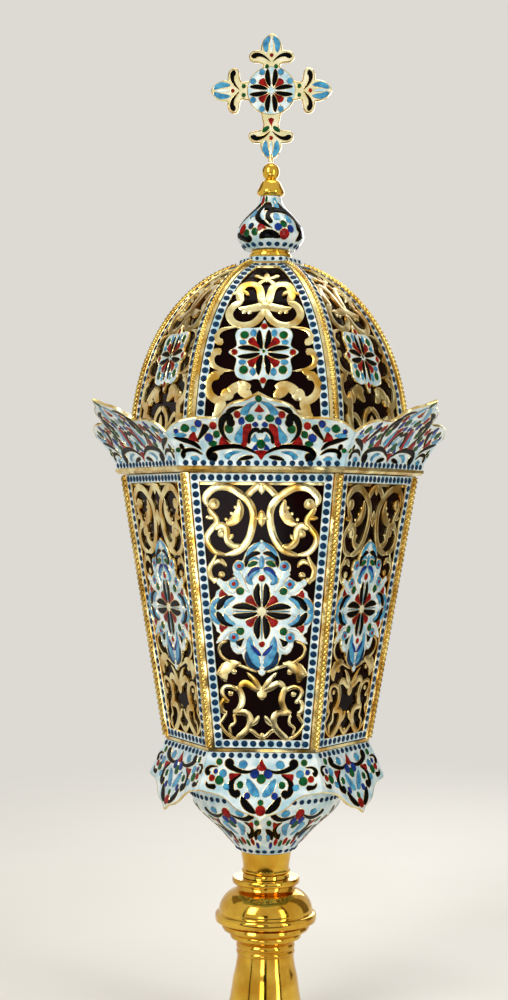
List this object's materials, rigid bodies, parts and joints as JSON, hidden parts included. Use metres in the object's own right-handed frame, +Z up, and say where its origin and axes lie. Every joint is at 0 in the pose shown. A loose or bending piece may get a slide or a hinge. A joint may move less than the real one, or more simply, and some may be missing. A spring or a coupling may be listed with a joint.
{
  "type": "enamel lantern",
  "caption": "Six-sided processional lantern with a ribbed dome, pierced gilt and enamelled panels, flared petals, a cross finial, a hinged rear door and a turned brass pole socket.",
  "frame": {"origin": "centre of the pole socket's lower end", "axes": "+Z up along the pole, -Y out of the front panel, +Y out of the door"},
  "size_m": [0.233, 0.25, 0.6597],
  "materials": {
    "enamel": "glossy vitreous enamel",
    "gilt": "bright gilding",
    "brass": "polished and lacquered",
    "ruby_glass": "dark ruby glass",
    "steel": "plain turned steel"
  },
  "bodies": {
    "lantern": {"cross": "enamel", "finial_onion": "enamel", "dome_collar": "enamel", "bowl": "enamel", "crown_petal_1": "enamel", "skirt_petal_1": "enamel", "dome_panel_1": "gilt", "dome_glass_1": "ruby_glass", "crown_petal_2": "enamel", "skirt_petal_2": "enamel", "dome_panel_2": "gilt", "dome_glass_2": "ruby_glass", "crown_petal_3": "enamel", "skirt_petal_3": "enamel", "dome_panel_3": "gilt", "dome_glass_3": "ruby_glass", "crown_petal_4": "enamel", "skirt_petal_4": "enamel", "dome_panel_4": "gilt", "dome_glass_4": "ruby_glass", "crown_petal_5": "enamel", "skirt_petal_5": "enamel", "dome_panel_5": "gilt", "dome_glass_5": "ruby_glass", "crown_petal_6": "enamel", "skirt_petal_6": "enamel", "dome_panel_6": "gilt", "dome_glass_6": "ruby_glass", "body_panel_1": "gilt", "body_glass_1": "ruby_glass", "body_panel_2": "gilt", "body_glass_2": "ruby_glass", "body_panel_3": "gilt", "body_glass_3": "ruby_glass", "body_panel_5": "gilt", "body_glass_5": "ruby_glass", "body_panel_6": "gilt", "body_glass_6": "ruby_glass", "finial_stem": "gilt", "dome_neck": "gilt", "dome_frame": "gilt", "cornice": "gilt", "body_frame": "gilt", "frame_hinge_leaf": "gilt", "neck_collar": "brass", "flange_disc": "brass", "knob": "brass", "pole_socket": "brass", "floor_plate": "brass", "candle_cup": "brass", "tie_rod": "steel", "tie_nut": "steel", "finial_nut": "steel", "hinge_pin": "steel"},
    "door": {"door_panel": "gilt", "door_frame": "gilt", "door_glass": "ruby_glass", "door_hinge_leaf": "gilt", "door_knob": "gilt"}
  },
  "joints": [
    {"name": "door_hinge", "type": "hinge", "parent": "lantern", "child": "door", "pos_m": [-0.03731, 0.07379, 0.27953], "axis": [-0.0842, 0.1459, 0.9857], "range_deg": [0, 110]}
  ]
}
